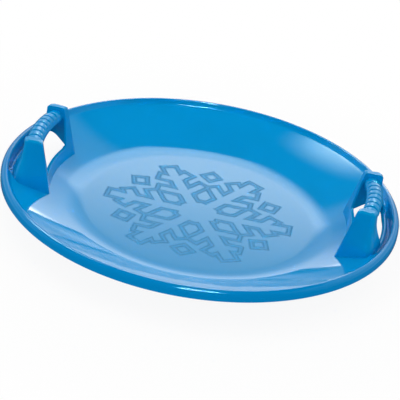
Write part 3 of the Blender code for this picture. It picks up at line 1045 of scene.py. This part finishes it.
class SLIDER_OT_stage(bpy.types.Operator):
    """Sets up the pale floor, the soft light and the camera"""

    bl_idname = "slider.stage"
    bl_label = "Stage"

    def execute(self, context):
        stage, light = context.scene.slider_stage, context.scene.slider_light
        self.add_camera(context, stage)
        self.add_floor(stage, light)
        self.add_world(context, light)
        self.add_lamp(light)
        context.scene.view_settings.view_transform = "Standard"
        return {"FINISHED"}

    def add_camera(self, context, stage):
        height, turn, roll = stage.camera_height, stage.camera_turn, stage.camera_roll
        out = math.cos(height)
        back = Vector((math.sin(turn) * out, -math.cos(turn) * out, math.sin(height)))
        level = Vector((math.cos(turn), math.sin(turn), 0.0))
        up = back.cross(level)
        right = math.cos(roll) * level + math.sin(roll) * up
        top = -math.sin(roll) * level + math.cos(roll) * up
        middle = Vector((0.0, 0.0, context.scene.slider_pan.skin))
        eye = middle + back * stage.camera_distance
        away = (eye - middle - right * stage.aim_right - top * stage.aim_up).normalized()
        across = (right - away * right.dot(away)).normalized()
        camera = bpy.data.cameras.new("camera")
        camera.sensor_width = SENSOR_WIDTH
        camera.lens = stage.focal_px / PICTURE_WIDTH * SENSOR_WIDTH
        obj = linked("camera", camera)
        placing = Matrix((across, away.cross(across), away)).transposed().to_4x4()
        placing.translation = eye
        obj.matrix_world = placing
        context.scene.camera = obj

    def add_floor(self, stage, light):
        """A pale floor that keeps the slider's shadow, and that the gloss sees duller."""
        bm = bmesh.new()
        bmesh.ops.create_grid(bm, x_segments=1, y_segments=1, size=stage.floor_size / 2)
        floor = new_object("studio_floor", bm)
        floor.location.z = -FLOOR_DROP
        material, graph = new_material("studio_white")
        paint = graph.node("BsdfDiffuse", Color=rgba([stage.floor_white] * 3))
        dull = graph.node("BsdfDiffuse", Color=rgba([0.0] * 3))
        glow = graph.node("Emission", Color=rgba([1.0] * 3), Strength=1.0)
        x, y, z = graph.place()
        far = step_between((x * x + y * y).sqrt(), *FLOOR_POOL)
        camera_ray, glossy_ray = graph.rays()
        duller = glossy_ray * (1 - light.floor)
        white = camera_ray * (far * (1 - stage.floor_glow) + stage.floor_glow)
        ground = graph.node("MixShader", _0=duller, _1=paint.outputs[0], _2=dull.outputs[0])
        mix = graph.node("MixShader", _0=white, _1=ground.outputs[0], _2=glow.outputs[0])
        graph.node("OutputMaterial", Surface=mix.outputs[0])
        floor.data.materials.append(material)

    def add_world(self, context, light):
        """Plain white to the eye, an even light to the matt colour, and a studio room to the gloss."""
        world = bpy.data.worlds.new("studio")
        context.scene.world = world
        world.use_nodes = True
        world.cycles.sampling_method = "NONE"
        graph = Graph(world.node_tree)
        x, y, z = graph.place("Generated")
        climb = z.arcsine().in_degrees()
        seen_back = self.room_behind(light, climb, x.angle_to(y).in_degrees())
        strip = band(climb, *STRIP_CLIMB) * band(x.angle_to(-y).in_degrees(), *STRIP_TURN)
        seen_front = light.front + strip * (light.strip - light.front)
        gloss = seen_front + (seen_back - seen_front) * step_between(y, *FRONT_TO_BACK)
        camera_ray, glossy_ray = graph.rays()
        bounced = glossy_ray * gloss + (1.0 - glossy_ray) * light.matt
        strength = camera_ray + (1.0 - camera_ray) * bounced
        background = graph.node("Background", Color=rgba([1.0] * 3), Strength=strength)
        graph.node("OutputWorld", Surface=background.outputs[0])

    def room_behind(self, light, climb, turn):
        """The half of the room behind the slider: a bright horizon, which reaches higher on the right,
        a dark ceiling, a softbox straight behind with darker walls beside it, and a softbox on the left."""
        right = step_between(turn, *RIGHT_HALF)
        bright = right * (1.0 - RIGHT_FADED * step_between(climb, *RIGHT_FADE))
        wall = light.room + (light.horizon - light.room) * bright
        room = light.horizon + (wall - light.horizon) * step_between(climb, *HORIZON_FADE)
        lower = climb - CEILING_RISE * right
        room = room + (light.ceiling - room) * step_between(lower, *CEILING_FADE)
        upper = step_between(climb, *SOFTBOX_MIDDLE)
        softbox = light.softbox + (light.softbox_top - light.softbox) * upper
        wide = step_between(turn, *SOFTBOX_LEFT) * (1.0 - step_between(turn, *SOFTBOX_RIGHT))
        behind = wide * step_between(climb, *SOFTBOX_FOOT) * (1.0 - step_between(climb, *SOFTBOX_HEAD))
        beside = step_between(abs(turn - BESIDE_CENTRE), *BESIDE_FADE)
        room = room * (1.0 - BESIDE_DARKER * beside * (1.0 - step_between(climb, *BESIDE_HEAD)))
        skyline = (1.0 - step_between(climb, *SKYLINE_HEAD)) * (1.0 - beside)
        room = room + (light.skyline - light.horizon) * skyline
        side_box = band(turn, *SIDE_BOX_TURN) * band(climb, *SIDE_BOX_CLIMB)
        return (room + behind * (softbox - room)).highest(side_box * light.side_box)

    def add_lamp(self, light):
        """One large soft lamp, for a faint shadow on the floor."""
        lamp = bpy.data.lights.new("key_light", "AREA")
        lamp.shape = "DISK"
        lamp.size = light.lamp_size
        lamp.energy = light.lamp_power
        obj = linked("key_light", lamp)
        obj.location = LAMP_PLACE
        obj.rotation_euler = (-Vector(LAMP_PLACE)).to_track_quat("-Z", "Y").to_euler()
        obj.visible_glossy = False
        obj.visible_camera = False


class SLIDER_OT_pan(bpy.types.Operator):
    """Builds the dished pan with its rolled rim and its floor design"""

    bl_idname = "slider.pan"
    bl_label = "Pan"

    def execute(self, context):
        scene = context.scene
        sizes = scene.slider_pan
        upper = pan_profile(sizes)
        pan = turned("pan_looks", upper + underside(sizes, upper)[::-1], sizes.steps)
        shape = HandleShape(scene)
        for turn in HANDLE_TURNS:
            for cutter in shape.opening(turn):
                combine(pan, cutter, "DIFFERENCE")
        smooth(pan)
        dress(pan, "pan", pan_material(scene.slider_finish, scene.slider_design))
        return {"FINISHED"}


class SLIDER_OT_handle_frames(bpy.types.Operator):
    """Builds the two frames that carry the grips"""

    bl_idname = "slider.handle_frames"
    bl_label = "Handle Frames"

    def execute(self, context):
        scene = context.scene
        first = HandleShape(scene).frame("right_handle_frame_looks")
        merge_slivers(first)
        round_edges(first, scene.slider_handle.edge_round)
        even_shading(first)
        place_pair(first, "handle_frame", shell_material(scene.slider_finish))
        return {"FINISHED"}


class SLIDER_OT_grips(bpy.types.Operator):
    """Builds the two ribbed grips"""

    bl_idname = "slider.grips"
    bl_label = "Grips"

    def execute(self, context):
        scene = context.scene
        shape = HandleShape(scene)
        first = lofted("right_grip_looks", [grip_ring(shape, y) for y in grip_stations(shape.grip)])
        smooth(first)
        place_pair(first, "grip", grip_material(scene.slider_finish))
        return {"FINISHED"}


class SLIDER_PT_looks(bpy.types.Panel):
    """Sizes, colours and buttons for the snow slider"""

    bl_idname = "SLIDER_PT_looks"
    bl_label = "Snow Slider"
    bl_space_type = "VIEW_3D"
    bl_region_type = "UI"
    bl_category = "Slider"

    def draw(self, context):
        for operator in OPERATORS:
            self.layout.operator(operator.bl_idname)
        for name, group in SETTINGS.items():
            box = self.layout.box()
            for field in group.__annotations__:
                box.prop(getattr(context.scene, name), field)


OPERATORS = (SLIDER_OT_stage, SLIDER_OT_pan, SLIDER_OT_handle_frames, SLIDER_OT_grips)
CLASSES = (*SETTINGS.values(), *OPERATORS, SLIDER_PT_looks)


def register():
    for cls in CLASSES:
        bpy.utils.register_class(cls)
    for name, group in SETTINGS.items():
        setattr(bpy.types.Scene, name, bpy.props.PointerProperty(type=group))


def unregister():
    for name in SETTINGS:
        delattr(bpy.types.Scene, name)
    for cls in reversed(CLASSES):
        bpy.utils.unregister_class(cls)


def main():
    register()
    bpy.ops.slider.stage()
    bpy.ops.slider.pan()
    bpy.ops.slider.handle_frames()
    bpy.ops.slider.grips()


if __name__ == "__main__":
    main()
